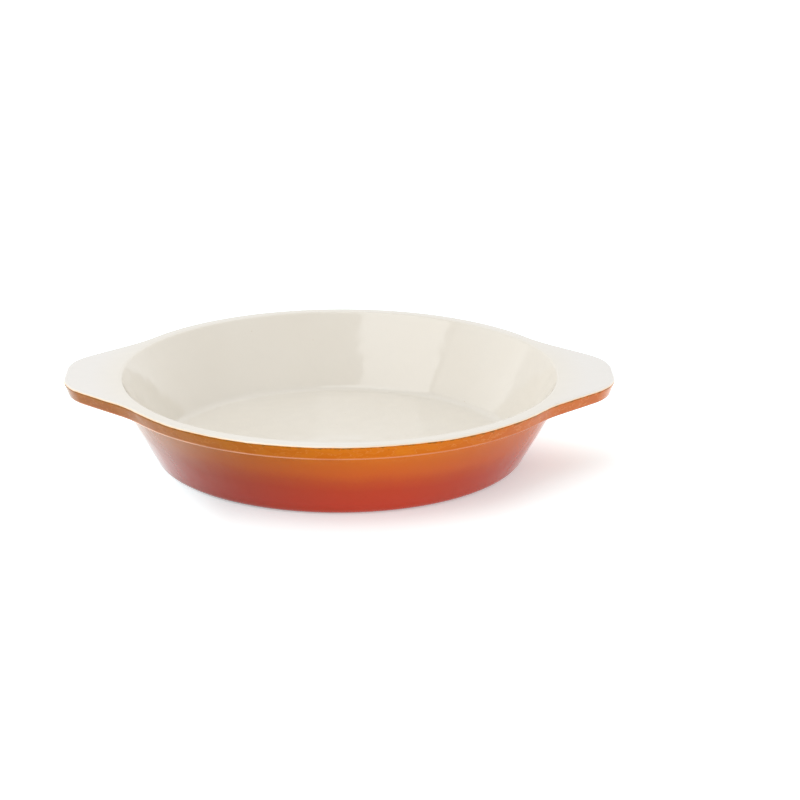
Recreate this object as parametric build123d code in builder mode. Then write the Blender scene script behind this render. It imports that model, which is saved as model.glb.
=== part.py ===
# Round gratin dish: one iron casting with two flat lugs, under fired enamel coats.
# The origin is the centre of the underside, +X runs through the lugs and +Z is up.
# Lengths are millimetres and angles are degrees. The sizes are those of the finished dish,
# over its enamel, and the coats lie inside them. An outer edge's radius is the casting's own,
# and each coat adds its thickness to it.
import os
from math import atan2, cos, degrees, radians, sin, tan

from build123d import *

os.makedirs("parts", exist_ok=True)

# Rim: a flat plate whose edge is drafted inwards from its top to its foot
dish_height = 31.0
rim_radius = 85.0
rim_depth = 5.8
rim_draft_angle = 20.0
rim_top_edge_radius = 0.5
rim_foot_edge_radius = 0.6
bowl_edge_radius = 0.7

# Lugs: the rim plate carried outwards on both sides. A flank leaves the rim at its bearing.
lug_length = 15.7
lug_tip_width = 31.0
lug_flank_bearing = 29.05
lug_tip_corner_radius = 24.0
lug_neck_radius = 60.0

# Wall and floor
base_radius = 66.8
base_edge_radius = 3.7
ledge_width = 1.7
ledge_corner_radius = 0.6
wall_thickness = 4.25
floor_thickness = 4.0
floor_corner_radius = 3.5

# Underside: a shallow bevelled recess that leaves a foot ring
foot_ring_width = 12.8
recess_depth = 0.5
recess_bevel_angle = 45.0

# Enamel
ground_coat_thickness = 0.15
cover_coat_thickness = 0.35
cream_drop = 0.8
fade_height = 15.0
firing_mark_radius = 1.2
firing_mark_count = 3

# How far a cut runs past a face
overrun = 2.0

rim_foot_height = dish_height - rim_depth
rim_foot_radius = rim_radius - rim_depth * tan(radians(rim_draft_angle))
wall_top_radius = rim_foot_radius - ledge_width
wall_angle = degrees(atan2(wall_top_radius - base_radius, rim_foot_height))
lug_reach = rim_radius + lug_length
recess_radius = base_radius - foot_ring_width
all_coats = ground_coat_thickness + cover_coat_thickness


def wall_radius(height, depth):
    # Radius of the cone that lies at a square depth inside the wall's outer face
    slope = radians(wall_angle)
    return base_radius + height * tan(slope) - depth / cos(slope)


def rim_plate(skin):
    # The rim and both lugs, with every face drawn in by the skin
    draft = radians(rim_draft_angle)
    bearing = radians(lug_flank_bearing)
    tip = Vector(lug_reach, lug_tip_width / 2)
    neck = Vector(rim_radius * cos(bearing), rim_radius * sin(bearing))
    # The flank's line runs on inside the rim to its point nearest the centre
    flank = neck - tip
    root = tip - flank * (tip.dot(flank) / flank.dot(flank))
    inset = skin / cos(draft) + skin * tan(draft)
    coats_over = all_coats - skin
    with BuildPart() as plate:
        with BuildSketch(Plane.XY.offset(dish_height - skin)) as outline:
            Circle(rim_radius)
            for side in (-1, 1):
                with BuildLine():
                    Polyline(
                        (side * root.X, -root.Y),
                        (side * tip.X, -tip.Y),
                        (side * tip.X, tip.Y),
                        (side * root.X, root.Y),
                        close=True,
                    )
                make_face()
            fillet(outline.vertices().group_by(SortBy.DISTANCE)[-1], lug_tip_corner_radius)
            fillet(outline.vertices().group_by(SortBy.DISTANCE)[0], lug_neck_radius)
            if inset > 0:
                offset(amount=-inset)
        extrude(amount=-(rim_depth - 2 * skin), taper=rim_draft_angle)
        fillet(plate.faces().sort_by(Axis.Z)[-1].edges(), rim_top_edge_radius + coats_over)
        fillet(plate.faces().sort_by(Axis.Z)[0].edges(), rim_foot_edge_radius + coats_over)
    return plate.part


def dish_body(skin):
    # The whole dish with every face drawn in by the skin: skin 0 is the finished surface
    floor_height = floor_thickness - skin
    rim_height = dish_height - skin
    ledge_height = rim_foot_height + skin
    buried_height = dish_height - rim_depth / 2
    bowl_depth = wall_thickness - skin
    coats_over = all_coats - skin
    bevel = radians(recess_bevel_angle)
    with BuildPart() as body:
        add(rim_plate(skin))
        # Outer wall, with its head buried in the rim plate
        with BuildSketch(Plane.XZ) as wall_section:
            with BuildLine():
                Polyline(
                    (0, skin),
                    (wall_radius(skin, skin), skin),
                    (wall_radius(ledge_height, skin), ledge_height),
                    (wall_radius(ledge_height, skin), buried_height),
                    (0, buried_height),
                    close=True,
                )
            make_face()
            base_edge = wall_section.vertices().group_by(Axis.Y)[0].sort_by(Axis.X)[-1]
            fillet(base_edge, base_edge_radius + coats_over)
        revolve(axis=Axis.Z)
        # The highest full circle is the corner where the wall meets the underside of the rim
        full_circles = body.edges().filter_by(lambda edge: edge.is_closed)
        fillet(full_circles.sort_by(Axis.Z)[-1], ledge_corner_radius + skin)
        # Bowl
        with BuildSketch(Plane.XZ) as bowl_section:
            with BuildLine():
                Polyline(
                    (0, floor_height),
                    (wall_radius(floor_height, bowl_depth), floor_height),
                    (wall_radius(rim_height + overrun, bowl_depth), rim_height + overrun),
                    (0, rim_height + overrun),
                    close=True,
                )
            make_face()
            floor_corner = bowl_section.vertices().group_by(Axis.Y)[0].sort_by(Axis.X)[-1]
            fillet(floor_corner, floor_corner_radius + skin)
        revolve(axis=Axis.Z, mode=Mode.SUBTRACT)
        bowl_edge = body.edges(Select.LAST).group_by(Axis.Z)[-1]
        fillet(bowl_edge, bowl_edge_radius + coats_over)
        # Recess under the floor
        recess_top_height = recess_depth + skin
        recess_top_radius = recess_radius + skin * tan(bevel / 2)
        with BuildSketch(Plane.XZ):
            with BuildLine():
                Polyline(
                    (0, recess_top_height),
                    (recess_top_radius, recess_top_height),
                    (recess_top_radius + (recess_top_height + overrun) / tan(bevel), -overrun),
                    (0, -overrun),
                    close=True,
                )
            make_face()
        revolve(axis=Axis.Z, mode=Mode.SUBTRACT)
    return body.part


finished_dish = dish_body(0)
undercoated_dish = dish_body(cover_coat_thickness)
bare_dish = dish_body(all_coats)

with BuildPart() as iron_casting:
    add(bare_dish)
iron_casting.part.label = "iron_casting"
export_step(iron_casting.part, "parts/iron_casting.step")

with BuildPart() as firing_marks:
    # Points of the foot ring that stood on the kiln's pins and stay bare through every coat
    with BuildSketch(Plane.XY.offset(-overrun)):
        with PolarLocations(base_radius - foot_ring_width / 2, firing_mark_count):
            Circle(firing_mark_radius)
    extrude(amount=overrun + all_coats)

with BuildPart() as ground_coat:
    add(undercoated_dish)
    add(bare_dish, mode=Mode.SUBTRACT)
    add(firing_marks.part, mode=Mode.SUBTRACT)
ground_coat.part.label = "ground_coat"
export_step(ground_coat.part, "parts/ground_coat.step")

with BuildPart() as cover_coat:
    # Both colours of the cover coat in one, before the cream is parted from the orange
    add(finished_dish)
    add(undercoated_dish, mode=Mode.SUBTRACT)
    add(firing_marks.part, mode=Mode.SUBTRACT)

with BuildPart() as cream_side:
    # All that lies inside the middle of the wall, or above the colours' border on the rim
    border_height = dish_height - cream_drop
    middle_depth = wall_thickness / 2
    middle_height = floor_thickness / 2
    with BuildSketch(Plane.XZ):
        with BuildLine():
            Polyline(
                (0, middle_height),
                (wall_radius(middle_height, middle_depth), middle_height),
                (wall_radius(border_height, middle_depth), border_height),
                (lug_reach + overrun, border_height),
                (lug_reach + overrun, dish_height + overrun),
                (0, dish_height + overrun),
                close=True,
            )
        make_face()
    revolve(axis=Axis.Z)

with BuildPart() as cream_enamel:
    # Bowl, rim top and the tops of the lugs
    add(cover_coat.part)
    add(cream_side.part, mode=Mode.INTERSECT)
cream_enamel.part.label = "cream_enamel"
export_step(cream_enamel.part, "parts/cream_enamel.step")

with BuildPart() as orange_enamel:
    # Edge of the rim and lugs, undersides of the lugs, and the upper wall
    add(cover_coat.part)
    add(cream_side.part, mode=Mode.SUBTRACT)
    split(bisect_by=Plane.XY.offset(fade_height), keep=Keep.TOP)
orange_enamel.part.label = "orange_enamel"
export_step(orange_enamel.part, "parts/orange_enamel.step")

with BuildPart() as red_enamel:
    # Lower wall and underside, sprayed against the orange, which it meets edge to edge
    add(cover_coat.part)
    add(cream_side.part, mode=Mode.SUBTRACT)
    split(bisect_by=Plane.XY.offset(fade_height), keep=Keep.BOTTOM)
red_enamel.part.label = "red_enamel"
export_step(red_enamel.part, "parts/red_enamel.step")
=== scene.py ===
# Round gratin dish of enamelled cast iron with two flat lugs, on a pale floor in soft studio light.
# Lengths in the dictionaries are millimetres and angles are degrees, unless a note says otherwise.
# Blender's own lengths are metres.
from math import atan2, cos, hypot, pi, radians, sin, sqrt, tan

import bmesh
import bpy
import numpy as np
from mathutils import Matrix, Vector, geometry, noise


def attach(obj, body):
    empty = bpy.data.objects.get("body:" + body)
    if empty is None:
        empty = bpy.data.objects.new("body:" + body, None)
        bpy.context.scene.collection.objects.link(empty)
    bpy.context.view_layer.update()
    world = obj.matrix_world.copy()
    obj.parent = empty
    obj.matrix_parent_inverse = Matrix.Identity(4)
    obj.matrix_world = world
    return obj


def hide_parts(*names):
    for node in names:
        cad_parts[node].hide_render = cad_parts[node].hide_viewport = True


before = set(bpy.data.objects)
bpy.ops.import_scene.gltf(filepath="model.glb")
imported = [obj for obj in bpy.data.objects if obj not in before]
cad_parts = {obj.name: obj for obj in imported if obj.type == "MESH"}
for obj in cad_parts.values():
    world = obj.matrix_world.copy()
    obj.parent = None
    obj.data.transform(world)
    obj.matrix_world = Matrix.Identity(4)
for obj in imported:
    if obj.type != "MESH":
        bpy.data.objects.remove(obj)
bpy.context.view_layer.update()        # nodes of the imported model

metresPerMm = 0.001
print("frame loaded:", ", ".join(sorted(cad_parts)))

# The dish over its finished enamel
dish = {
    "rimHeight": 31.0,
    "rimRadius": 85.0,
    "rimDepth": 5.8,
    "rimDraft": 20.0,
    "rimTopEdge": 1.0,
    "rimFootEdge": 1.1,
    "lugLength": 15.7,
    "lugTipWidth": 31.0,
    "lugFlankBearing": 29.05,
    "lugTipCorner": 24.0,
    "lugNeck": 60.0,
    "baseRadius": 66.8,
    "baseEdge": 4.2,
    "ledgeWidth": 1.7,
    "ledgeCorner": 0.6,
    "wall": 4.25,
    "floor": 4.0,
    "floorCorner": 3.5,
    "bowlEdge": 1.2,
    "footRing": 12.8,
    "recess": 0.5,
    "coverCoat": 0.35,
    "creamDrop": 0.8,
    "fadeHeight": 15.0,
    "firingMarkRadius": 1.2,
    "firingMarkCount": 3,
    "stations": 896,              # mesh points round the rim, a multiple of 128 so that rings can halve
    "arcSteps": 400,              # points of the outline that the stations are spaced along
    "straightSteps": 200,
}

rimHeight = dish["rimHeight"]
rimFootHeight = rimHeight - dish["rimDepth"]
draft = radians(dish["rimDraft"])
wallTopRadius = dish["rimRadius"] - dish["rimDepth"] * tan(draft) - dish["ledgeWidth"]
lean = atan2(wallTopRadius - dish["baseRadius"], rimFootHeight)      # the wall's angle from upright


def wallRadius(height, depth=0.0):
    # The wall's radius at a height, on its outer face or square inwards from it
    return dish["baseRadius"] + height * tan(lean) - depth / cos(lean)


def rimOutline(count):
    # Even stations round the rim and lugs, with the outward direction at each
    radius, tipCorner, neckRadius = dish["rimRadius"], dish["lugTipCorner"], dish["lugNeck"]
    bearing = radians(dish["lugFlankBearing"])
    tip = Vector((radius + dish["lugLength"], dish["lugTipWidth"] / 2))
    back = (Vector((radius * cos(bearing), radius * sin(bearing))) - tip).normalized()
    out = Vector((back.y, -back.x))
    turn = atan2(out.y, out.x)
    tipCentre = Vector((tip.x - tipCorner, tip.y - tipCorner * tan(turn / 2)))
    reach = out.dot(tip)
    slide = sqrt((radius + neckRadius) ** 2 - (reach + neckRadius) ** 2)
    neckCentre = out * (reach + neckRadius) - back * slide
    neckAngle = atan2(neckCentre.y, neckCentre.x)

    def arc(centre, size, first, last, side=1):
        angle = np.linspace(first, last, dish["arcSteps"])
        spoke = np.column_stack([np.cos(angle), np.sin(angle)])
        return np.hstack([np.array(centre) + size * spoke, side * spoke])

    def straight(first, last, facing):
        steps = dish["straightSteps"]
        return np.hstack([np.linspace(first, last, steps), np.tile(facing, (steps, 1))])

    quarter = np.vstack([
        straight((tip.x, 0), (tip.x, tipCentre.y), (1, 0)),
        arc(tipCentre, tipCorner, 0, turn)[1:],
        straight(tipCentre + out * tipCorner, out * reach - back * slide, out)[1:],
        arc(neckCentre, neckRadius, turn + pi, neckAngle + pi, side=-1)[1:],
        arc((0, 0), radius, neckAngle, pi / 2)[1:],
    ])
    across, over = np.array([-1, 1, -1, 1]), np.array([1, -1, 1, -1])
    loop = np.vstack([
        quarter, (quarter * across)[-2::-1], (quarter * across * over)[1:], (quarter * over)[-2::-1]
    ])
    travel = np.append(0, np.cumsum(np.hypot(*np.diff(loop[:, :2], axis=0).T)))
    wanted = np.arange(count) * travel[-1] / count
    found = np.column_stack([np.interp(wanted, travel, column) for column in loop.T])
    return found[:, :2], found[:, 2:] / np.hypot(*found[:, 2:].T)[:, None]


stations, facings = rimOutline(dish["stations"])
spokes = stations / np.hypot(*stations.T)[:, None]      # from the middle towards each station
print("outline has", len(stations), "stations")


def makeRow(flat, heights, sideways, out, up):
    # One ring of mesh points: where they are, and the way that the surface faces at each
    heights, out, up = (np.broadcast_to(value, len(flat)) for value in (heights, out, up))
    return {
        "at": np.column_stack([flat, heights]),
        "faces": np.column_stack([sideways * out[:, None], up]),
    }


def ringRow(radius, height, out, up, every=1):
    # A level ring of the round body, with a point at every station, every second or every fourth
    return makeRow(spokes[::every] * radius, height, spokes[::every], out, up)


# The rim's edge from the flat top down: a rounded top, a drafted side and a rounded foot
topArc = dish["rimTopEdge"] * (pi / 2 + draft)
footArc = dish["rimFootEdge"] * (pi / 2 - draft)
topInset = dish["rimTopEdge"] * (1 / cos(draft) + tan(draft))
footInset = (dish["rimDepth"] - dish["rimFootEdge"]) * tan(draft) + dish["rimFootEdge"] / cos(draft)
topDrop, footRise = dish["rimTopEdge"] * (1 + sin(draft)), dish["rimFootEdge"] * (1 - sin(draft))
sideRun = (dish["rimDepth"] - topDrop - footRise) / cos(draft)
sideEnd = topArc + sideRun
edgeLength = sideEnd + footArc


def edgeRow(travel, every=1):
    # A ring round the rim and lugs, at this distance down the edge from the flat top. Each station may
    # have its own.
    travel = np.broadcast_to(travel, dish["stations"])[::every]
    topAngle = pi / 2 - travel / dish["rimTopEdge"]
    footAngle = -draft - (travel - topArc - sideRun) / dish["rimFootEdge"]
    down = np.clip(travel - topArc, 0, sideRun)
    onFoot = travel > sideEnd
    angle = np.where(travel < topArc, topAngle, np.where(travel < sideEnd, -draft, footAngle))
    size = np.where(onFoot, dish["rimFootEdge"], dish["rimTopEdge"])
    centreInset = np.where(onFoot, footInset, topInset + down * sin(draft))
    centreHeight = np.where(
        onFoot, rimFootHeight + dish["rimFootEdge"], rimHeight - dish["rimTopEdge"] - down * cos(draft)
    )
    inset = centreInset - size * np.cos(angle)
    facing = facings[::every]
    flat = stations[::every] - facing * inset[:, None]
    return makeRow(flat, centreHeight + size * np.sin(angle), facing, np.cos(angle), np.sin(angle))


def arcRows(centre, size, first, last, count, side=1, every=1):
    # Rings round a rounded corner of the body. side is -1 for a hollow corner.
    turns = [(cos(angle), sin(angle)) for angle in np.linspace(first, last, count)]
    return [
        ringRow(centre[0] + size * out, centre[1] + size * up, side * out, side * up, every)
        for out, up in turns
    ]


def rowsBetween(first, last, count):
    # Rings that share out the flat or straight surface between two rings, without the two
    return [
        {key: first[key] + (last[key] - first[key]) * k / (count + 1) for key in first}
        for k in range(1, count + 1)
    ]


discMesh = {
    "fewestPoints": 28,           # in its innermost ring
    "stretch": 1.9,               # how far apart rings are, for each length between a ring's points
    "leastStep": 1.0,
}


def discRows(radius, height, up):
    # Rings over a flat disc, with half as many points each time that the circle has halved
    rows, every = [], 2
    while dish["stations"] // every >= discMesh["fewestPoints"]:
        step = discMesh["stretch"] * 2 * pi * radius * every / dish["stations"]
        for r in np.arange(radius, radius / 2, -max(step, discMesh["leastStep"])):
            rows.append(ringRow(r, height, 0, up, every))
        radius, every = radius / 2, every * 2
    return rows


# How the enamel flowed when it was fired. A wave is how far apart the soft hollows are, how deep they
# are, and where its noise starts.
enamelFlow = {
    "waves": ((36.0, 0.07, (0.0, 5.0, 3.0)), (14.0, 0.06, (17.0, 5.0, 3.0))),
    "calmHeight": 3.0,            # below this the foot ring lies flat on the table
    "edgeRound": 0.13,            # how far in the free edge of a coat starts to round
    "edgeSteps": (1.0, 0.5, 0.2, 0.0),          # where its rings lie, as shares of that
}


def hollow(points, calm=False):
    # How far the fired surface lies below the nominal one
    depth = np.zeros(len(points))
    for size, deep, start in enamelFlow["waves"]:
        wave = [noise.noise(Vector(p) / size + Vector(start)) for p in points]
        depth += deep * (0.5 + 0.5 * np.array(wave))
    if calm:
        depth *= np.clip(points[:, 2] / enamelFlow["calmHeight"], 0, 1) ** 2
    return np.maximum(depth, 0)


def sink(row, depth):
    return {**row, "at": row["at"] - row["faces"] * np.broadcast_to(depth, len(row["at"]))[:, None]}


def softenFacing(rows):
    # The way each ring's points face once the hollows are in
    softened = []
    smallest, nudge = 1e-9, 1e-12      # too small to give a direction, and what keeps a sign off 0
    for k, row in enumerate(rows):
        beside = (rows[max(k - 1, 0)], rows[min(k + 1, len(rows) - 1)])
        near = [r for r in beside if len(r["at"]) == len(row["at"])]
        if len(near) < 2:
            near = [row, *[r for r in near if r is not row]]
        along = np.roll(row["at"], -1, axis=0) - np.roll(row["at"], 1, axis=0)
        across = near[-1]["at"] - near[0]["at"]
        normal = np.cross(along, across)
        size = np.linalg.norm(normal, axis=1)
        good = size > smallest
        normal[good] /= size[good][:, None]
        normal[~good] = row["faces"][~good]
        normal *= np.sign(np.sum(normal * row["faces"], axis=1) + nudge)[:, None]
        softened.append({**row, "faces": normal})
    return softened


farFromBorder = 99.0              # the borderTravel of points that nothing at the border reaches


def newShell():
    return {"points": [], "facing": [], "faces": [], "travel": []}


def layRow(shell, row, travel=farFromBorder):
    # Adds a ring's points and gives their numbers. travel is how far they lie from the colours' border.
    first = sum(len(p) for p in shell["points"])
    shell["points"].append(row["at"])
    shell["facing"].append(row["faces"])
    shell["travel"].append(np.broadcast_to(travel, len(row["at"])))
    return np.arange(first, first + len(row["at"]))


def joinRows(shell, first, last):
    # A strip of faces between two rings of equal count, or of which one has half as many points
    swapped = len(first) < len(last)
    if swapped:
        first, last = last, first
    nextLast = np.roll(last, -1)
    if len(first) == len(last):
        strip = np.column_stack([first, np.roll(first, -1), nextLast, last]).tolist()
    else:
        even, odd, nextEven = first[::2], first[1::2], np.roll(first, -2)[::2]
        strip = np.vstack([
            np.column_stack([even, odd, last]),
            np.column_stack([odd, nextLast, last]),
            np.column_stack([odd, nextEven, nextLast]),
        ]).tolist()
    shell["faces"] += [face[::-1] for face in strip] if swapped else strip


def layRows(shell, rows, travels=None):
    travels = travels or [farFromBorder] * len(rows)
    numbers = [layRow(shell, row, travel) for row, travel in zip(rows, travels)]
    for first, last in zip(numbers, numbers[1:]):
        joinRows(shell, first, last)
    return numbers


def closeCentre(shell, ring, row):
    # A fan of triangles from the last ring to its middle
    centre = {"at": row["at"].mean(axis=0)[None], "faces": row["faces"].mean(axis=0)[None]}
    middle = layRow(shell, centre)[0]
    shell["faces"] += np.column_stack([ring, np.roll(ring, -1), np.full(len(ring), middle)]).tolist()


def finishShell(shell, name, material, slotName, *nodes):
    # Turns a closed shell into an object in metres that stands for its CAD nodes
    points, facing = np.vstack(shell["points"]), np.vstack(shell["facing"])
    mesh = bpy.data.meshes.new(name)
    mesh.from_pydata((points * metresPerMm).tolist(), [], shell["faces"])
    closed = bmesh.new()
    closed.from_mesh(mesh)
    bmesh.ops.recalc_face_normals(closed, faces=closed.faces)
    closed.to_mesh(mesh)
    closed.free()
    mesh.polygons.foreach_set("use_smooth", [True] * len(mesh.polygons))
    travel = mesh.attributes.new("borderTravel", "FLOAT", "POINT")
    travel.data.foreach_set("value", np.concatenate(shell["travel"]).astype(np.float32))
    mesh.materials.append(material)
    mesh.validate()
    mesh.normals_split_custom_set_from_vertices(facing.tolist())
    piece = bpy.data.objects.new(name, mesh)
    bpy.context.scene.collection.objects.link(piece)
    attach(piece, "root")
    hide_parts(*nodes)
    print(name, "has", len(mesh.polygons), "faces")


def hexColour(code):
    # sRGB hex to the linear colour that a shader takes
    parts = [int(code[k:k + 2], 16) / 255 for k in (1, 3, 5)]
    return (*[p / 12.92 if p <= 0.04045 else ((p + 0.055) / 1.055) ** 2.4 for p in parts], 1.0)


def addNode(tree, kind, values=None, links=None, **settings):
    # One node with its settings, its fixed values and what feeds it. On a colour Mix node, input 0 is
    # the share, inputs 6 and 7 are the colours, and output 2 is the result.
    node = tree.nodes.new(kind)
    for name, value in settings.items():
        setattr(node, name, value)
    for name, value in (values or {}).items():
        node.inputs[name].default_value = value
    for name, source in (links or {}).items():
        tree.links.new(source, node.inputs[name])
    return node


def newMaterial(name):
    # An empty material, its nodes, and the object's own coordinates that its patterns follow
    material = bpy.data.materials.new(name)
    material.use_nodes = True
    tree = material.node_tree
    tree.nodes.clear()
    return material, tree, addNode(tree, "ShaderNodeTexCoord").outputs["Object"]


def perSize(sizeMm):
    # A texture scale that repeats about once in this many millimetres, on coordinates in metres
    return 1 / (sizeMm * metresPerMm)


def inMetres(*lengths):
    return [length * metresPerMm for length in lengths]


def firedSurface(tree, place, look):
    # The slow swell of a glaze that has flowed, with a fine orange peel over it
    bump = None
    for layer in ("swell", "peel"):
        relief = addNode(
            tree, "ShaderNodeTexNoise", {"Scale": perSize(look[layer + "Size"]), "Detail": 1.0},
            {"Vector": place},
        )
        under = {"Normal": bump.outputs["Normal"]} if bump else {}
        bump = addNode(
            tree, "ShaderNodeBump", {"Distance": look[layer + "Depth"] * metresPerMm, "Strength": 1.0},
            {"Height": relief.outputs["Fac"], **under},
        )
    return bump.outputs["Normal"]


noiseSpan = (0.3, 0.7)            # nearly all of a noise's values lie between these


def patchyGloss(tree, place, look):
    # Roughness that drifts over the surface between the finish's lowest and highest
    drift = addNode(
        tree, "ShaderNodeTexNoise", {"Scale": perSize(look["glossSize"]), "Detail": 3.0},
        {"Vector": place},
    )
    smoothest, dullest = look["roughness"]
    spread = addNode(
        tree, "ShaderNodeMapRange",
        {"From Min": noiseSpan[0], "From Max": noiseSpan[1], "To Min": smoothest, "To Max": dullest},
        {"Value": drift.outputs["Fac"]},
    )
    return spread.outputs["Result"]


# Vitreous enamel, sprayed and fired: opaque glass that looks wet. It swells a little where it flowed,
# has a faint orange peel, changes tint where it pooled, holds a few pale brown specks, and is thinner
# and warmer along its border with the outer colour.
creamFinish = {
    "body": "#EAE5DB",
    "pooled": "#E6DFD2",
    "poolSize": 40.0,
    "paintedLugReflection": "#E8E4DE",          # painted reflection: a cooler white on the lug tops, for the white room's reflection there
    "paintedLugReflectionFrom": (86.0, 96.0),   # how far out from the origin, which is under the bowl
    "speck": "#B99A6B",
    "speckSpacing": 9.0,
    "speckSize": 0.12,
    "speckEdge": 1.8,             # where a speck has faded out, as a multiple of its size
    "speckShare": 0.5,
    "thin": "#FFD2A0",
    "thinLeast": 0.46,            # width of the thin line, and what its grain adds to that
    "thinWander": 0.45,
    "thinGrain": 1.6,
    "swellSize": 11.0,
    "swellDepth": 0.26,
    "peelSize": 2.4,
    "peelDepth": 0.012,
    "glossSize": 9.0,
    "roughness": (0.07, 0.12),
    "ior": 1.56,                  # a dense enamel, at the high end of glass
}


def makeCreamEnamel():
    look = creamFinish
    material, tree, place = newMaterial("vitreousEnamelCream")
    pool = addNode(
        tree, "ShaderNodeTexNoise", {"Scale": perSize(look["poolSize"]), "Detail": 2.0},
        {"Vector": place},
    )
    outwards = addNode(tree, "ShaderNodeVectorMath", links={0: place}, operation="LENGTH")
    start, full = inMetres(*look["paintedLugReflectionFrom"])
    lugReflectionShare = addNode(
        tree, "ShaderNodeMapRange", {"From Min": start, "From Max": full},
        {"Value": outwards.outputs["Value"]},
    )
    cells = addNode(
        tree, "ShaderNodeTexVoronoi", {"Scale": perSize(look["speckSpacing"])}, {"Vector": place}
    )
    speckRadius = look["speckSize"] / look["speckSpacing"]
    speck = addNode(
        tree, "ShaderNodeMapRange",
        {"From Min": speckRadius, "From Max": look["speckEdge"] * speckRadius,
         "To Min": look["speckShare"], "To Max": 0.0},
        {"Value": cells.outputs["Distance"]},
    )
    grain = addNode(
        tree, "ShaderNodeTexNoise", {"Scale": perSize(look["thinGrain"]), "Detail": 2.0},
        {"Vector": place},
    )
    wander = addNode(
        tree, "ShaderNodeMath", {1: look["thinWander"]}, {0: grain.outputs["Fac"]}, operation="MULTIPLY"
    )
    width = addNode(
        tree, "ShaderNodeMath", {1: look["thinLeast"]}, {0: wander.outputs[0]}, operation="ADD"
    )
    border = addNode(tree, "ShaderNodeAttribute", attribute_name="borderTravel")
    thin = addNode(
        tree, "ShaderNodeMapRange", {"From Min": 0.0, "To Min": 1.0, "To Max": 0.0},
        {"Value": border.outputs["Fac"], "From Max": width.outputs[0]},
    )
    colour = None
    for key, share in (
        ("pooled", pool.outputs["Fac"]),
        # painted reflection on the lug tops
        ("paintedLugReflection", lugReflectionShare.outputs["Result"]),
        ("speck", speck.outputs["Result"]),
        ("thin", thin.outputs["Result"]),
    ):
        under = {6: colour} if colour else {}
        colour = addNode(
            tree, "ShaderNodeMix", {6: hexColour(look["body"]), 7: hexColour(look[key])},
            {0: share, **under}, data_type="RGBA",
        ).outputs[2]
    shader = addNode(
        tree, "ShaderNodeBsdfPrincipled", {"IOR": look["ior"]},
        {"Base Color": colour, "Roughness": patchyGloss(tree, place, look),
         "Normal": firedSurface(tree, place, look)},
    )
    addNode(tree, "ShaderNodeOutputMaterial", links={"Surface": shader.outputs["BSDF"]})
    return material


# Vitreous enamel again, orange sprayed into red: the fade is soft but grainy from the spray. The
# orange is yellower in streaks on the rim, and the ground coat shows brown under its upper edge. A
# pair of noise values says where a pattern starts to show and where it is full.
flameFinish = {
    "ramp": (                     # height, colour
        (4.0, "#C23829"),
        (10.5, "#BA3620"),
        (14.5, "#BD431D"),
        (18.0, "#C65418"),
        (23.5, "#C95F0C"),
        (26.5, "#CD6502"),
        (30.5, "#CF6902"),
    ),
    "rampTop": 32.0,
    "sideDrop": 0.035,            # how much lower the fade sits for each millimetre to the right
    "cloudSize": 16.0,
    "cloudHeight": 2.4,
    "droplet": 1.1,               # coarser than the real spray, which is too fine to show
    "dropletHeight": 1.6,
    "streak": "#E4871E",          # yellower where the spray lies thick on the rim
    "streakSize": 7.0,
    "streakStretch": (1.0, 1.0, 2.5),           # flatter upwards
    "streakFine": 0.6,            # how strong the finer of the streaks are
    "streakFrom": (22.0, 27.0),   # heights over which the streaks come in
    "streakNoise": (0.46, 0.72),
    "streakShare": 0.34,
    "paintedShadeLeft": "#B9C6FF",          # painted shade: the left side is multiplied by this, darker where less light reaches it
    "paintedShadeLeftSpan": (22.0, -60.0),
    "paintedShadeRight": "#EFD8A8",          # painted shade: the right end is multiplied by this, darker in green and blue against the floor's pale reflection there
    "paintedShadeRightSpan": (20.0, 70.0),
    "paintedGlint": "#F5B070",           # painted highlights: thin pale lines among the streaks, for reflections on the glaze's ripples
    "glintWidth": 0.018,          # how far from the noise's middle value a line has faded out
    "glintSpan": (-20.0, 60.0),
    "glintShare": (0.12, 0.26),   # at the left and at the right
    "paintedFootHighlight": "#EDA888",        # painted highlight along the foot edge of the rim, for its reflection of the white floor
    "edgeHeights": (25.40, 25.48, 25.85, 26.20),
    "edgeShare": (1.30, 0.25),    # at the left and at the right, about halved by the clouds
    "smudge": "#84500F",          # the ground coat, come through under the border
    "smudgeSize": 1.7,
    "smudgeReach": 1.7,           # how far below the border
    "smudgeBias": (0.2, -0.3),    # what the noise gains at the border, and at the end of that reach
    "smudgeNoise": (0.58, 0.72),
    "smudgeShare": 0.8,
    "pit": "#6A3A14",             # round pinholes down to the ground coat
    "pitSpacing": 3.4,
    "pitSize": 0.24,
    "pitEdge": 1.6,
    "pitReach": (0.6, 2.2),       # where they thin out below the border, and where the last are
    "pitShare": 0.6,
    "sheen": "#FFC261",           # the coat tints a head-on reflection, and a grazing one stays white
    "swellSize": 6.0,
    "swellDepth": 0.12,
    "peelSize": 1.7,
    "peelDepth": 0.022,
    "glossSize": 7.0,
    "roughness": (0.06, 0.11),
    "ior": 1.5,
}


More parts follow.
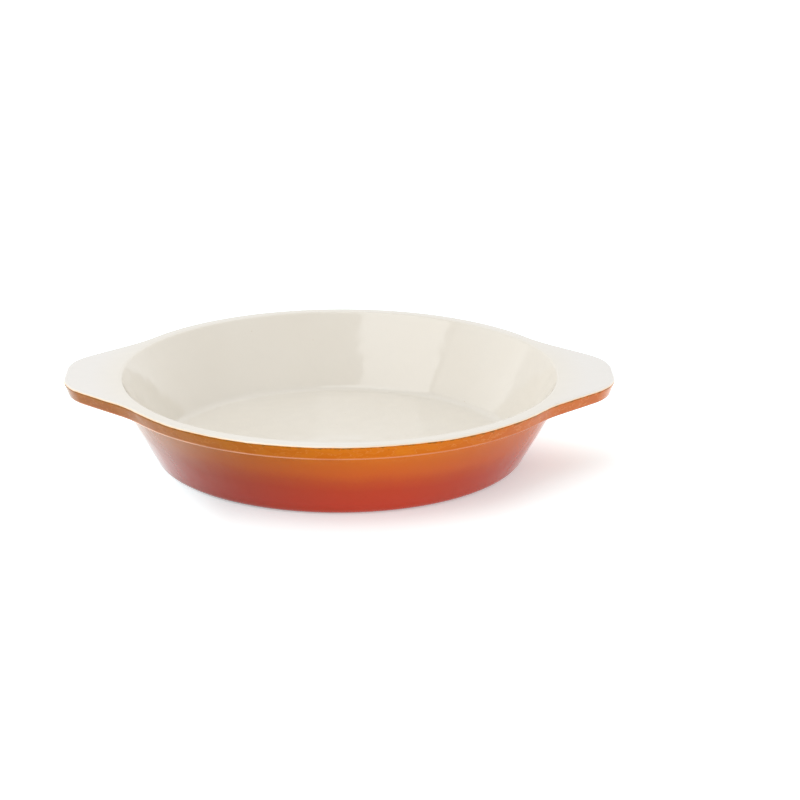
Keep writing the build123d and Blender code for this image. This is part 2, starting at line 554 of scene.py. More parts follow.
def sprayedFade(tree, place, axes, cloud, look):
    # Red to orange by height, which the side of the dish, the clouds and the droplets shift
    spray = addNode(
        tree, "ShaderNodeTexNoise", {"Scale": perSize(look["droplet"]), "Detail": 1.0},
        {"Vector": place},
    )
    height = axes.outputs["Z"]
    for source, amount in (
        (axes.outputs["X"], look["sideDrop"]),
        (cloud, look["cloudHeight"] * metresPerMm),
        (spray.outputs["Fac"], look["dropletHeight"] * metresPerMm),
    ):
        height = addNode(
            tree, "ShaderNodeMath", {1: amount}, {0: source, 2: height}, operation="MULTIPLY_ADD"
        ).outputs[0]
    lift = (look["cloudHeight"] + look["dropletHeight"]) / 2
    lowest, highest = inMetres(lift, look["rampTop"] + lift)
    share = addNode(
        tree, "ShaderNodeMapRange", {"From Min": lowest, "From Max": highest}, {"Value": height}
    )
    ramp = addNode(tree, "ShaderNodeValToRGB", links={"Fac": share.outputs["Result"]})
    stops = ramp.color_ramp.elements
    for k, (level, code) in enumerate(look["ramp"]):
        stop = stops[k] if k < 2 else stops.new(level / look["rampTop"])
        stop.position = level / look["rampTop"]
        stop.color = hexColour(code)
    return ramp.outputs["Color"]


def streaksAt(tree, drawn, onRim, look):
    # Streaks that lie along the rim
    faint, strong = look["streakNoise"]
    shape = addNode(
        tree, "ShaderNodeMapRange",
        {"From Min": faint, "From Max": strong, "To Max": look["streakShare"]}, {"Value": drawn},
    )
    return addNode(
        tree, "ShaderNodeMath", links={0: shape.outputs["Result"], 1: onRim}, operation="MULTIPLY"
    ).outputs[0]


def sideAt(tree, axes, span):
    # How far along X towards one side, as a share for the painted shade there
    near, far = inMetres(*span)
    return addNode(
        tree, "ShaderNodeMapRange", {"From Min": near, "From Max": far},
        {"Value": axes.outputs["X"]}, interpolation_type="SMOOTHSTEP",
    ).outputs["Result"]


def paintedGlintsAt(tree, drawn, onRim, axes, look):
    # Painted highlights: thin lines where the streaks' noise passes its middle value
    middleValue = sum(noiseSpan) / 2
    past = addNode(tree, "ShaderNodeMath", {1: middleValue}, {0: drawn}, operation="SUBTRACT")
    away = addNode(tree, "ShaderNodeMath", links={0: past.outputs[0]}, operation="ABSOLUTE")
    line = addNode(
        tree, "ShaderNodeMapRange", {"From Min": look["glintWidth"], "From Max": 0.0},
        {"Value": away.outputs[0]},
    )
    left, right = inMetres(*look["glintSpan"])
    leftShare, rightShare = look["glintShare"]
    side = addNode(
        tree, "ShaderNodeMapRange",
        {"From Min": left, "From Max": right, "To Min": leftShare, "To Max": rightShare},
        {"Value": axes.outputs["X"]},
    )
    share = line.outputs["Result"]
    for limit in (side.outputs["Result"], onRim):
        share = addNode(
            tree, "ShaderNodeMath", links={0: share, 1: limit}, operation="MULTIPLY"
        ).outputs[0]
    return share


def paintedFootHighlightAt(tree, cloud, axes, look):
    # Painted highlight along the foot edge of the rim, broken up by the clouds and weaker to the right
    reach = dish["rimRadius"] * metresPerMm
    leftShare, rightShare = look["edgeShare"]
    side = addNode(
        tree, "ShaderNodeMapRange",
        {"From Min": -reach, "From Max": reach, "To Min": leftShare, "To Max": rightShare},
        {"Value": axes.outputs["X"]},
    )
    low, lowFull, highFull, high = inMetres(*look["edgeHeights"])
    rising = addNode(
        tree, "ShaderNodeMapRange", {"From Min": low, "From Max": lowFull},
        {"Value": axes.outputs["Z"], "To Max": side.outputs["Result"]},
    )
    level = addNode(
        tree, "ShaderNodeMapRange", {"From Min": highFull, "From Max": high, "To Max": 0.0},
        {"Value": axes.outputs["Z"], "To Min": rising.outputs["Result"]},
    )
    return addNode(
        tree, "ShaderNodeMath", links={0: level.outputs["Result"], 1: cloud}, operation="MULTIPLY"
    ).outputs[0]


def smudgesAt(tree, place, border, look):
    # More and stronger the nearer the border is
    blot = addNode(
        tree, "ShaderNodeTexNoise", {"Scale": perSize(look["smudgeSize"]), "Detail": 3.0},
        {"Vector": place},
    )
    atBorder, atReach = look["smudgeBias"]
    bias = addNode(
        tree, "ShaderNodeMapRange",
        {"From Min": 0.0, "From Max": look["smudgeReach"], "To Min": atBorder, "To Max": atReach},
        {"Value": border},
    )
    biased = addNode(
        tree, "ShaderNodeMath", links={0: blot.outputs["Fac"], 1: bias.outputs["Result"]},
        operation="ADD",
    )
    faint, strong = look["smudgeNoise"]
    return addNode(
        tree, "ShaderNodeMapRange",
        {"From Min": faint, "From Max": strong, "To Min": 0.0, "To Max": look["smudgeShare"]},
        {"Value": biased.outputs[0]},
    ).outputs["Result"]


def pitsAt(tree, place, border, look):
    # Weaker the further they are from the border
    cells = addNode(
        tree, "ShaderNodeTexVoronoi", {"Scale": perSize(look["pitSpacing"])}, {"Vector": place}
    )
    pitRadius = look["pitSize"] / look["pitSpacing"]
    shape = addNode(
        tree, "ShaderNodeMapRange",
        {"From Min": pitRadius, "From Max": look["pitEdge"] * pitRadius, "To Min": 1.0, "To Max": 0.0},
        {"Value": cells.outputs["Distance"]},
    )
    near, far = look["pitReach"]
    zone = addNode(
        tree, "ShaderNodeMapRange",
        {"From Min": near, "From Max": far, "To Min": look["pitShare"], "To Max": 0.0},
        {"Value": border},
    )
    return addNode(
        tree, "ShaderNodeMath", links={0: shape.outputs["Result"], 1: zone.outputs["Result"]},
        operation="MULTIPLY",
    ).outputs[0]


def makeFlameEnamel():
    look = flameFinish
    material, tree, place = newMaterial("vitreousEnamelFlame")
    axes = addNode(tree, "ShaderNodeSeparateXYZ", links={"Vector": place})
    border = addNode(tree, "ShaderNodeAttribute", attribute_name="borderTravel").outputs["Fac"]
    cloud = addNode(
        tree, "ShaderNodeTexNoise", {"Scale": perSize(look["cloudSize"]), "Detail": 2.0},
        {"Vector": place},
    ).outputs["Fac"]
    stretched = addNode(
        tree, "ShaderNodeVectorMath", {1: look["streakStretch"]}, {0: place}, operation="MULTIPLY"
    )
    drawn = addNode(
        tree, "ShaderNodeTexNoise",
        {"Scale": perSize(look["streakSize"]), "Detail": 3.0, "Roughness": look["streakFine"]},
        {"Vector": stretched.outputs[0]},
    ).outputs["Fac"]
    start, full = inMetres(*look["streakFrom"])
    onRim = addNode(
        tree, "ShaderNodeMapRange", {"From Min": start, "From Max": full}, {"Value": axes.outputs["Z"]}
    ).outputs["Result"]
    colour = sprayedFade(tree, place, axes, cloud, look)
    for key, share, blend in (
        ("streak", streaksAt(tree, drawn, onRim, look), "MIX"),
        # painted shade on the left side
        ("paintedShadeLeft", sideAt(tree, axes, look["paintedShadeLeftSpan"]), "MULTIPLY"),
        # painted shade on the right end
        ("paintedShadeRight", sideAt(tree, axes, look["paintedShadeRightSpan"]), "MULTIPLY"),
        # painted highlights on the rim
        ("paintedGlint", paintedGlintsAt(tree, drawn, onRim, axes, look), "MIX"),
        # painted highlight along the rim's foot edge
        ("paintedFootHighlight", paintedFootHighlightAt(tree, cloud, axes, look), "MIX"),
        ("smudge", smudgesAt(tree, place, border, look), "MIX"),
        ("pit", pitsAt(tree, place, border, look), "MIX"),
    ):
        colour = addNode(
            tree, "ShaderNodeMix", {7: hexColour(look[key])}, {0: share, 6: colour},
            data_type="RGBA", blend_type=blend,
        ).outputs[2]
    shader = addNode(
        tree, "ShaderNodeBsdfPrincipled",
        {"IOR": look["ior"], "Specular Tint": hexColour(look["sheen"])},
        {"Base Color": colour, "Roughness": patchyGloss(tree, place, look),
         "Normal": firedSurface(tree, place, look)},
    )
    addNode(tree, "ShaderNodeOutputMaterial", links={"Surface": shader.outputs["BSDF"]})
    return material


# Ground coat, the first enamel: satin and mottled, brown where it is thin. It shows in the fine line
# between the two colours.
groundFinish = {
    "body": "#7E4C1C",
    "worn": "#B07434",
    "mottle": 1.8,
    "roughness": (0.28, 0.42),
    "ior": 1.5,
}


def makeGroundCoat():
    look = groundFinish
    material, tree, place = newMaterial("vitreousGroundCoat")
    mottle = addNode(
        tree, "ShaderNodeTexNoise", {"Scale": perSize(look["mottle"]), "Detail": 3.0}, {"Vector": place}
    )
    colour = addNode(
        tree, "ShaderNodeMix", {6: hexColour(look["body"]), 7: hexColour(look["worn"])},
        {0: mottle.outputs["Fac"]}, data_type="RGBA",
    )
    rough = addNode(
        tree, "ShaderNodeMapRange", {"To Min": look["roughness"][0], "To Max": look["roughness"][1]},
        {"Value": mottle.outputs["Fac"]},
    )
    shader = addNode(
        tree, "ShaderNodeBsdfPrincipled", {"IOR": look["ior"]},
        {"Base Color": colour.outputs[2], "Roughness": rough.outputs["Result"]},
    )
    addNode(tree, "ShaderNodeOutputMaterial", links={"Surface": shader.outputs["BSDF"]})
    return material


# Grey cast iron, blasted before it was enamelled: dull grey with a sandy grain and a little rust,
# seen only at the three firing marks underneath
ironFinish = {
    "body": "#55524F",
    "rust": "#6B4530",
    "rustPatch": 1.6,
    "rustNoise": (0.5, 0.62),
    "grain": 0.7,
    "grainDepth": 0.06,
    "metallic": 0.7,              # oxide covers part of the metal
    "roughness": (0.5, 0.75),
}


def makeCastIron():
    look = ironFinish
    material, tree, place = newMaterial("greyCastIron")
    grain = addNode(
        tree, "ShaderNodeTexNoise", {"Scale": perSize(look["grain"]), "Detail": 4.0}, {"Vector": place}
    )
    patch = addNode(
        tree, "ShaderNodeTexNoise", {"Scale": perSize(look["rustPatch"]), "Detail": 2.0},
        {"Vector": place},
    )
    clean, rusty = look["rustNoise"]
    rusted = addNode(
        tree, "ShaderNodeMapRange", {"From Min": clean, "From Max": rusty},
        {"Value": patch.outputs["Fac"]},
    )
    colour = addNode(
        tree, "ShaderNodeMix", {6: hexColour(look["body"]), 7: hexColour(look["rust"])},
        {0: rusted.outputs["Result"]}, data_type="RGBA",
    )
    rough = addNode(
        tree, "ShaderNodeMapRange", {"To Min": look["roughness"][0], "To Max": look["roughness"][1]},
        {"Value": grain.outputs["Fac"]},
    )
    bump = addNode(
        tree, "ShaderNodeBump", {"Distance": look["grainDepth"] * metresPerMm, "Strength": 1.0},
        {"Height": grain.outputs["Fac"]},
    )
    shader = addNode(
        tree, "ShaderNodeBsdfPrincipled", {"Metallic": look["metallic"]},
        {"Base Color": colour.outputs[2], "Roughness": rough.outputs["Result"],
         "Normal": bump.outputs["Normal"]},
    )
    addNode(tree, "ShaderNodeOutputMaterial", links={"Surface": shader.outputs["BSDF"]})
    return material


creamEnamel, flameEnamel = makeCreamEnamel(), makeFlameEnamel()
for nodeName, made in (("ground_coat", makeGroundCoat()), ("iron_casting", makeCastIron())):
    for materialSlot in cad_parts[nodeName].material_slots:
        materialSlot.material = made
print("enamel and iron materials made")

# Where the cream stops and the orange starts on the rim's edge: a wiped line that wanders, with
# a thin broken gap through which the ground coat shows
borderLine = {
    "wander": ((11.0, 0.16), (3.0, 0.10)),      # how far apart its waves are, and how far they go
    "drip": (24.0, 0.22),         # the same for where the cream ran down
    "nearestTop": 0.9,            # the border keeps this distance from the flat top
    "gap": (0.01, 0.11),          # narrowest and widest
    "gapPatch": 5.0,
    "gapShift": (3.0, 9.0, 1.0),  # where the patches' noise starts
    "gapBias": 0.35,              # with more of it, more of the gap is at its widest
    "rightShare": 0.3,            # how much of the gap is left at the rim's right end
}


def borderAndGap():
    # How far down the edge the border lies at each station, and how wide the gap is there
    topEdge = dish["rimTopEdge"]
    middleAngle = np.arcsin((topEdge - dish["creamDrop"]) / topEdge)
    travel = np.full(dish["stations"], topEdge * (pi / 2 - middleAngle))
    gap = np.zeros(dish["stations"])
    narrow, wide = borderLine["gap"]
    for i, (x, y) in enumerate(stations):
        here = Vector((x, y, 0.0))
        for size, reach in borderLine["wander"]:
            travel[i] += reach * noise.noise(here / size + Vector((0, 0, size)))
        size, reach = borderLine["drip"]
        travel[i] += reach * max(0.0, noise.noise(here / size))
        parted = noise.noise(here / borderLine["gapPatch"] + Vector(borderLine["gapShift"]))
        gap[i] = min(max(narrow + (wide - narrow) * (parted + borderLine["gapBias"]), narrow), wide)
        gap[i] *= 1 - (1 - borderLine["rightShare"]) * max(0.0, x) / dish["rimRadius"]
    return np.clip(travel, borderLine["nearestTop"], topArc - wide), gap


borderTravel, borderGap = borderAndGap()
print("border drawn, with a gap up to", round(float(borderGap.max()), 2), "mm wide")


def coatLip(stop, side):
    # The rounded free edge of a coat, from its full height down to the coat under it
    rows, travels = [], []
    reach = enamelFlow["edgeRound"]
    for share in enamelFlow["edgeSteps"]:
        back = reach * share
        row = edgeRow(stop + side * back)
        rounding = reach - sqrt(reach ** 2 - (reach - back) ** 2)
        rows.append(sink(row, hollow(row["at"]) + rounding))
        travels.append(back)
    return rows, travels


def innerSkin(row):
    # The same ring on the coat's hidden side, against the coat under it
    return {"at": row["at"] - row["faces"] * dish["coverCoat"], "faces": -row["faces"]}


# How many rings there are on each stretch of the cream coat, on the side that shows and on the hidden
# one, which has every fourth point
creamMesh = {
    "shown": {"corner": 11, "wall": 26, "bowlEdge": 6, "rimTop": 9},
    "hidden": {"corner": 7, "wall": 2, "bowlEdge": 3, "rimTop": 2, "every": 4},
    "downEdge": (0.25, 0.5, 0.75, 0.9),         # rings between the flat top and the lip
    "hiddenDownEdge": 0.6,
    "floorGap": 0.8,              # between the floor's rounded corner and its first flat ring
}


def makeCreamCoat():
    # Bowl, rim top and lug tops, as a closed shell
    cornerHeight = dish["floor"] + dish["floorCorner"]
    floorRadius = wallRadius(cornerHeight, dish["wall"]) - dish["floorCorner"] / cos(lean)
    edgeHeight = rimHeight - dish["bowlEdge"]
    edgeCentre = (wallRadius(edgeHeight, dish["wall"]) + dish["bowlEdge"] / cos(lean), edgeHeight)

    def bowlRows(corner, wall, bowlEdge, rimTop, every=1):
        rows = arcRows(
            (floorRadius, cornerHeight), dish["floorCorner"], -pi / 2, -lean, corner, -1, every
        )
        bend = arcRows(edgeCentre, dish["bowlEdge"], pi - lean, pi / 2, bowlEdge, 1, every)
        rimStart = edgeRow(0.0, every)
        rows += rowsBetween(rows[-1], bend[0], wall) + bend
        return rows + rowsBetween(bend[-1], rimStart, rimTop) + [rimStart]

    stop = borderTravel - borderGap / 2
    outer = discRows(floorRadius - creamMesh["floorGap"], dish["floor"], 1)[::-1]
    outer += bowlRows(**creamMesh["shown"])
    travels = [farFromBorder] * len(outer)
    lipStart = stop - enamelFlow["edgeRound"]
    for share in creamMesh["downEdge"]:
        outer.append(edgeRow(lipStart * share))
        travels.append(lipStart * (1 - share) + enamelFlow["edgeRound"])
    lipRows, lipTravels = coatLip(stop, -1)
    outer = softenFacing([sink(row, hollow(row["at"])) for row in outer] + lipRows)
    inner = [edgeRow(stop), edgeRow(stop * creamMesh["hiddenDownEdge"], every=2)]
    inner += bowlRows(**creamMesh["hidden"])[::-1]
    inner.append(ringRow(floorRadius / 2, dish["floor"], 0, 1, every=8))
    inner = [innerSkin(row) for row in inner]

    shell = newShell()
    numbers = layRows(shell, outer, travels + lipTravels)
    closeCentre(shell, numbers[0], outer[0])
    innerNumbers = layRows(shell, inner)
    joinRows(shell, numbers[-1], innerNumbers[0])
    closeCentre(shell, innerNumbers[-1], inner[-1])
    finishShell(shell, "cream_enamel_coat", creamEnamel, "cream_enamel", "cream_enamel")


# The same for the outer colours. Under the lip the rings follow the border's wander, and they settle
# into level ones a little below the rim's rounded top.
flameMesh = {
    "settleBelow": 1.3,
    "settling": (0.2, 0.4, 0.6, 0.8, 1.0),
    "rimSide": 4,
    "rimFoot": 5,
    "ledge": 9,
    "ledgeCorner": 5,
    "upperWall": 11,
    "lowerWall": 14,
    "baseEdge": 8,
    "hiddenLedgeCorner": 3,
    "hiddenBaseEdge": 5,
    "hiddenStep": 1.5,            # beside the fade, where the hidden side thins out to fewer points
}

flameStart = borderTravel + borderGap / 2
ledgeHeight = rimFootHeight - dish["ledgeCorner"]
ledgeCentre = (wallRadius(ledgeHeight) + dish["ledgeCorner"] / cos(lean), ledgeHeight)
baseCentre = (wallRadius(dish["baseEdge"]) - dish["baseEdge"] / cos(lean), dish["baseEdge"])


def wallRow(height, every=1):
    return ringRow(wallRadius(height), height, cos(lean), -sin(lean), every)


def ledgeRows(count, every=1):
    return arcRows(ledgeCentre, dish["ledgeCorner"], pi / 2, pi - lean, count, -1, every)


def baseRows(count, every=1):
    return arcRows(baseCentre, dish["baseEdge"], -lean, -pi / 2, count, 1, every)


def flameRows():
    # Rings from the border down to the foot ring, how far each lies from the border, and how many of
    # them belong to the orange
    lipRows, lipTravels = coatLip(flameStart, 1)
    lipEnd, settled = flameStart + enamelFlow["edgeRound"], topArc + flameMesh["settleBelow"]
    edgeTravels = [lipEnd + (settled - lipEnd) * share for share in flameMesh["settling"]]
    edgeTravels += list(np.linspace(settled, sideEnd, flameMesh["rimSide"] + 1)[1:])
    edgeTravels += list(np.linspace(sideEnd, edgeLength, flameMesh["rimFoot"] + 1)[1:])
    upper = [edgeRow(travel) for travel in edgeTravels]
    ledge, fade = ledgeRows(flameMesh["ledgeCorner"]), wallRow(dish["fadeHeight"])
    upper += rowsBetween(upper[-1], ledge[0], flameMesh["ledge"]) + ledge
    upper += rowsBetween(ledge[-1], fade, flameMesh["upperWall"]) + [fade]
    base = baseRows(flameMesh["baseEdge"])
    lower = rowsBetween(fade, base[0], flameMesh["lowerWall"]) + base
    outer = [sink(row, hollow(row["at"], calm=True)) for row in upper + lower]
    travels = lipTravels[::-1] + [travel - flameStart for travel in edgeTravels]
    travels += [farFromBorder] * (len(upper) + len(lower) - len(edgeTravels))
    return softenFacing(lipRows[::-1] + outer), travels, len(lipRows) + len(upper)


def makeOrangeCoat(outer, travels):
    # Rim edge, undersides of the lugs and upper wall, as a closed shell
    shell = newShell()
    numbers = layRows(shell, outer, travels)
    inner = [edgeRow(flameStart), edgeRow(topArc, every=2)]
    inner += [edgeRow(travel, every=4) for travel in (sideEnd, sideEnd + footArc / 2, edgeLength)]
    inner += ledgeRows(flameMesh["hiddenLedgeCorner"], every=4)
    inner.append(wallRow(dish["fadeHeight"] + flameMesh["hiddenStep"], every=2))
    inner.append(wallRow(dish["fadeHeight"]))
    innerNumbers = layRows(shell, [innerSkin(row) for row in inner])
    joinRows(shell, numbers[0], innerNumbers[0])
    joinRows(shell, numbers[-1], innerNumbers[-1])
    finishShell(shell, "orange_enamel_coat", flameEnamel, "orange_enamel", "orange_enamel")


def makeRedCoat(outer):
    # Lower wall, base edge and underside, as a closed shell
    shell = newShell()
    numbers = layRows(shell, outer)
    inner = [wallRow(dish["fadeHeight"])]
    inner.append(wallRow(dish["fadeHeight"] - flameMesh["hiddenStep"], every=2))
    inner += baseRows(flameMesh["hiddenBaseEdge"], every=4)
    innerNumbers = layRows(shell, [innerSkin(row) for row in inner])
    joinRows(shell, numbers[0], innerNumbers[0])
    addFootRing(shell, numbers[-1], innerNumbers[-1])
    finishShell(shell, "red_enamel_coat", flameEnamel, "red_enamel", "red_enamel")


# Underside of the red coat. Each ring is given by how far it lies from a radius and a height, and by
# how far the surface faces outwards and upwards there.
footRing = {
    "bevelFoot": ((0.30, 0.0, 0.0, -1.0), (0.08, 0.03, -0.3, -0.95), (-0.12, 0.16, -0.7, -0.7)),
    "bevelTop": ((0.18, -0.20, -0.7, -0.7), (-0.02, -0.05, -0.4, -0.9), (-0.30, 0.0, 0.0, -1.0)),
    "hiddenBevel": (0.1, 0.2),    # beyond the bevel's foot and its top
    "recessGap": 1.0,             # between the bevel and the first ring of the recess
    "recessHollow": 0.5,          # how much of the wall's hollows the recess has
    "markLip": (
        (0.8, 0.0, 0.0, -1.0),
        (0.35, 0.0, 0.0, -1.0),
        (0.12, 0.03, -0.5, -0.85),
        (0.02, 0.12, -0.95, -0.3),
    ),
    "markPoints": 28,
    "fillRadii": (57.2, 59.6, 62.0),            # loose points over the flat of the ring
    "fillClear": 1.6,             # how far they stay from a mark
    "fillEvery": (8, 32),         # which stations have them, below and on the hidden side
}


def markRow(centre, radius, height, out, up):
    # A ring round a firing mark
    angle = np.arange(footRing["markPoints"]) * 2 * pi / footRing["markPoints"]
    spoke = np.column_stack([np.cos(angle), np.sin(angle)])
    return makeRow(np.array(centre) + radius * spoke, height, spoke, out, up)


def fillBetween(shell, outerRing, innerRing, holes, height, up, extra):
    # Triangles over a flat ring with holes in it
    rings = [outerRing, innerRing, *holes]
    points = np.vstack(shell["points"])
    flat, edges, numbers = [], [], []
    for ring in rings:
        first = len(flat)
        flat += [Vector(points[n][:2]) for n in ring]
        edges += [(first + k, first + (k + 1) % len(ring)) for k in range(len(ring))]
        numbers += list(ring)
    loose = makeRow(np.array(extra), height, np.array(extra), 0, up)
    numbers += list(layRow(shell, loose))
    flat += [Vector(p) for p in extra]
    insideEdges, samePoint = 1, 1e-5            # keep what the rings enclose, join points this near
    made = geometry.delaunay_2d_cdt(flat, edges, [], insideEdges, samePoint)
    places, triangles, origins = made[0], made[2], made[3]
    outerSize, innerSize = (hypot(*points[ring[0]][:2]) for ring in (outerRing, innerRing))
    centres = [points[hole].mean(axis=0)[:2] for hole in holes]
    justInside = 0.999            # so that the ring's own edge isn't taken for a mark's inside
    holeSize = hypot(*(points[holes[0][0]][:2] - centres[0])) * justInside
    for triangle in triangles:
        middle = sum((places[k] for k in triangle), Vector((0, 0))) / len(triangle)
        onRing = innerSize < middle.length < outerSize
        if onRing and all(hypot(middle.x - x, middle.y - y) >= holeSize for x, y in centres):
            shell["faces"].append([int(numbers[origins[k][0]]) for k in triangle])


def addFootRing(shell, outerEdge, innerEdge):
    # Flat foot ring with its firing marks, then the bevel and the recess
    skin, recess, markRadius = dish["coverCoat"], dish["recess"], dish["firingMarkRadius"]
    recessRadius = dish["baseRadius"] - dish["footRing"]
    bevelStart = recessRadius + recess
    under = [ringRow(bevelStart + r, z, out, up, 2) for r, z, out, up in footRing["bevelFoot"]]
    for r, z, out, up in footRing["bevelTop"]:
        under.append(ringRow(recessRadius + r, recess + z, out, up, 2))
    for row in discRows(recessRadius - footRing["recessGap"], recess, -1):
        lift = footRing["recessHollow"] * hollow(row["at"])
        under.append({**row, "at": row["at"] + [0, 0, 1] * lift[:, None]})
    numbers = layRows(shell, under)
    closeCentre(shell, numbers[-1], under[-1])

    beyondFoot, beyondTop = footRing["hiddenBevel"]
    inner = [
        ringRow(bevelStart + beyondFoot, skin, 0, 1, every=4),
        ringRow(recessRadius + beyondTop, recess + skin, 0, 1, every=4),
        ringRow(recessRadius / 2, recess + skin, 0, 1, every=8),
    ]
    innerNumbers = layRows(shell, inner)
    closeCentre(shell, innerNumbers[-1], inner[-1])

    markCircle = dish["baseRadius"] - dish["footRing"] / 2
    angles = [2 * pi * k / dish["firingMarkCount"] for k in range(dish["firingMarkCount"])]
    centres = [(markCircle * cos(angle), markCircle * sin(angle)) for angle in angles]
    tops, bottoms = [], []
    for centre in centres:
        lip = [markRow(centre, markRadius + r, z, out, up) for r, z, out, up in footRing["markLip"]]
        markNumbers = layRows(shell, lip + [markRow(centre, markRadius, skin, -1, 0)])
        tops.append(markNumbers[0])
        bottoms.append(markNumbers[-1])

    def filler(every):
        clear = markRadius + footRing["fillClear"]
        return [
            tuple(spoke * radius)
            for radius in footRing["fillRadii"] for spoke in spokes[::every]
            if all(hypot(*(spoke * radius - np.array(c))) > clear for c in centres)
        ]

    below, hidden = footRing["fillEvery"]
    fillBetween(shell, outerEdge, numbers[0], tops, 0.0, -1, filler(below))
    fillBetween(shell, innerEdge, innerNumbers[0], bottoms, skin, 1, filler(hidden))


makeCreamCoat()
flameOuter, flameTravels, meeting = flameRows()
makeOrangeCoat(flameOuter[:meeting], flameTravels[:meeting])
makeRedCoat(flameOuter[meeting - 1:])
print("three cover coats made")

# Pale floor that glows a little as painted light: least under the dish, most in a ring beside its wall,
# which clears the dish's shadow there and brightens its reflections. Lengths here are metres.
studio = {
    "floor": "#F4F4F4",
    "floorSize": 14.0,
    "floorRoughness": 0.9,
    "glowColour": "#DCFCFF",      # cool, so that the floor stays white where the dish reddens it
    "glow": 0.37,
    "brighter": (                 # axis, where the glow starts to rise, where it is full, how much
        ("X", -0.100, -0.200, 0.10),
        ("X", 0.085, 0.130, 0.10),
        ("Y", -0.020, 0.035, 0.40),
    ),
    "ring": (0.112, 0.086),       # outer and inner edge of the ring's own falloff
    "ringSides": (                # the same as brighter, along X and within the ring
        (-0.036, -0.064, 0.34),
        (-0.055, -0.076, 0.52),
        (0.052, 0.075, 0.04),
    ),
}


def addRises(tree, base, rises):
    # A brightness that goes up in soft steps. A step is what it follows, where it starts, where it is
    # full, how much it adds, and what limits it.
    total = None
    for source, first, last, added, limit in rises:
        rise = addNode(
            tree, "ShaderNodeMapRange",
            {"From Min": first, "From Max": last, "To Min": 0.0, "To Max": added},
            {"Value": source}, interpolation_type="SMOOTHSTEP",
        ).outputs["Result"]
        if limit:
            rise = addNode(
                tree, "ShaderNodeMath", links={0: rise, 1: limit}, operation="MULTIPLY"
            ).outputs[0]
        under = {0: total} if total else {}
        total = addNode(
            tree, "ShaderNodeMath", {0: base}, {1: rise, **under}, operation="ADD"
        ).outputs[0]
    return total


def makeFloor():
    half = studio["floorSize"] / 2
    corners = [(-half, -half, 0), (half, -half, 0), (half, half, 0), (-half, half, 0)]
    mesh = bpy.data.meshes.new("pale_floor")
    mesh.from_pydata(corners, [], [(0, 1, 2, 3)])
    floor = bpy.data.objects.new("pale_floor", mesh)
    bpy.context.scene.collection.objects.link(floor)
    material, tree, place = newMaterial("paleFloor")
    axes = addNode(tree, "ShaderNodeSeparateXYZ", links={"Vector": place})
    span = addNode(tree, "ShaderNodeVectorMath", links={0: place}, operation="LENGTH")
    outside, inside = studio["ring"]
    ring = addNode(
        tree, "ShaderNodeMapRange", {"From Min": outside, "From Max": inside},
        {"Value": span.outputs["Value"]}, interpolation_type="SMOOTHSTEP",
    ).outputs["Result"]
    rises = [(axes.outputs[axis], *step, None) for axis, *step in studio["brighter"]]
    rises += [(axes.outputs["X"], *step, ring) for step in studio["ringSides"]]
    shader = addNode(
        tree, "ShaderNodeBsdfPrincipled",
        {"Base Color": hexColour(studio["floor"]), "Roughness": studio["floorRoughness"],
         "Specular IOR Level": 0.0, "Emission Color": hexColour(studio["glowColour"])},
        {"Emission Strength": addRises(tree, studio["glow"], rises)},
    )
    addNode(tree, "ShaderNodeOutputMaterial", links={"Surface": shader.outputs["BSDF"]})
    mesh.materials.append(material)


# White room: how bright it is overhead, and what each side adds as it comes down to the horizon
room = {
    "overhead": 0.36,
    "sides": (                    # axis, where a side starts to brighten, where it is full, how much
        ("Y", -0.1, 0.8, 0.60),
        ("Y", 0.1, -0.8, 0.23),
        ("X", 0.0, 1.0, 0.53),
        ("X", -0.775, -0.805, 0.70),
    ),
}


def makeRoom():
    world = bpy.data.worlds.new("whiteRoom")
    bpy.context.scene.world = world
    world.use_nodes = True
    tree = world.node_tree
    direction = addNode(tree, "ShaderNodeTexCoord").outputs["Generated"]
    axes = addNode(tree, "ShaderNodeSeparateXYZ", links={"Vector": direction})
    rises = [(axes.outputs[axis], *step, None) for axis, *step in room["sides"]]
    backdrop = tree.nodes["Background"]
    backdrop.inputs["Color"].default_value = (1, 1, 1, 1)
    tree.links.new(addRises(tree, room["overhead"], rises), backdrop.inputs["Strength"])


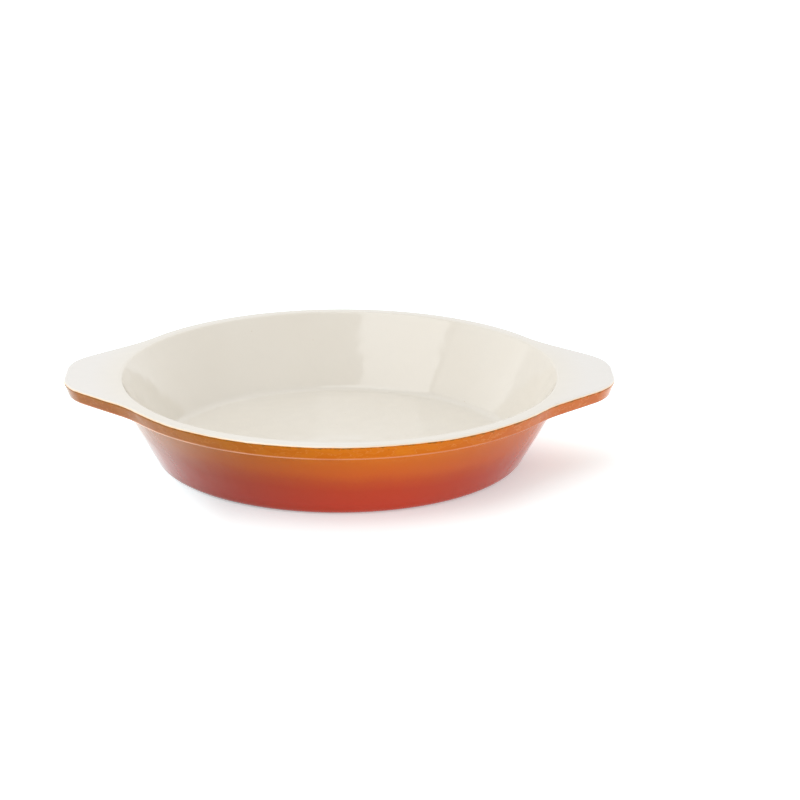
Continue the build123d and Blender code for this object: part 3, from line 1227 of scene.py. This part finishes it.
# Soft box, in front of the dish and to its left. Its distance and size are metres.
softBox = {
    "bearing": 44.5,
    "rise": 55,
    "distance": 1.5,
    "size": (1.10, 2.0),
    "bright": 1.66,               # how bright its face looks
    "tint": "#FAFCFF",
}


def hangSoftBox():
    light = bpy.data.lights.new("front_left_box", "AREA")
    light.shape = "RECTANGLE"
    light.size, light.size_y = softBox["size"]
    light.color = hexColour(softBox["tint"])[:3]
    light.energy = softBox["bright"] * pi * light.size * light.size_y       # watts for that brightness
    bearing, rise = radians(softBox["bearing"]), radians(softBox["rise"])
    towards = Vector((-sin(bearing) * cos(rise), -cos(bearing) * cos(rise), sin(rise)))
    lamp = bpy.data.objects.new("front_left_box", light)
    lamp.location = towards * softBox["distance"]
    lamp.rotation_euler = towards.to_track_quat("Z", "Y").to_euler()
    bpy.context.scene.collection.objects.link(lamp)


# Camera: turned and tipped about the middle of the rim, then slid sideways and down
cameraView = {
    "distance": 1.020,            # metres, as the two slides are
    "tip": 17.83,
    "turn": 1.16,
    "roll": -0.21,
    "right": 0.0220,
    "down": 0.0103,
    "lens": 125.5,
    "sensor": 36.0,
}


def placeCamera():
    tip, turn, roll = (radians(cameraView[key]) for key in ("tip", "turn", "roll"))
    ahead = Vector((sin(turn) * cos(tip), cos(turn) * cos(tip), -sin(tip)))
    level = Vector((cos(turn), -sin(turn), 0))
    upright = Vector((sin(turn) * sin(tip), cos(turn) * sin(tip), cos(tip)))
    right = level * cos(roll) - upright * sin(roll)
    up = level * sin(roll) + upright * cos(roll)
    aim = Vector((0, 0, rimHeight * metresPerMm))
    stand = aim - ahead * cameraView["distance"] + right * cameraView["right"] - up * cameraView["down"]
    data = bpy.data.cameras.new("photo_view")
    data.lens, data.sensor_width = cameraView["lens"], cameraView["sensor"]
    camera = bpy.data.objects.new("photo_view", data)
    camera.matrix_world = Matrix.Translation(stand) @ Matrix((right, up, -ahead)).transposed().to_4x4()
    bpy.context.scene.collection.objects.link(camera)
    bpy.context.scene.camera = camera


makeFloor()
print("floor laid")
makeRoom()
hangSoftBox()
print("studio lit by a soft box and a white room")
placeCamera()
bpy.context.scene.view_settings.view_transform = "Standard"
print("camera placed")
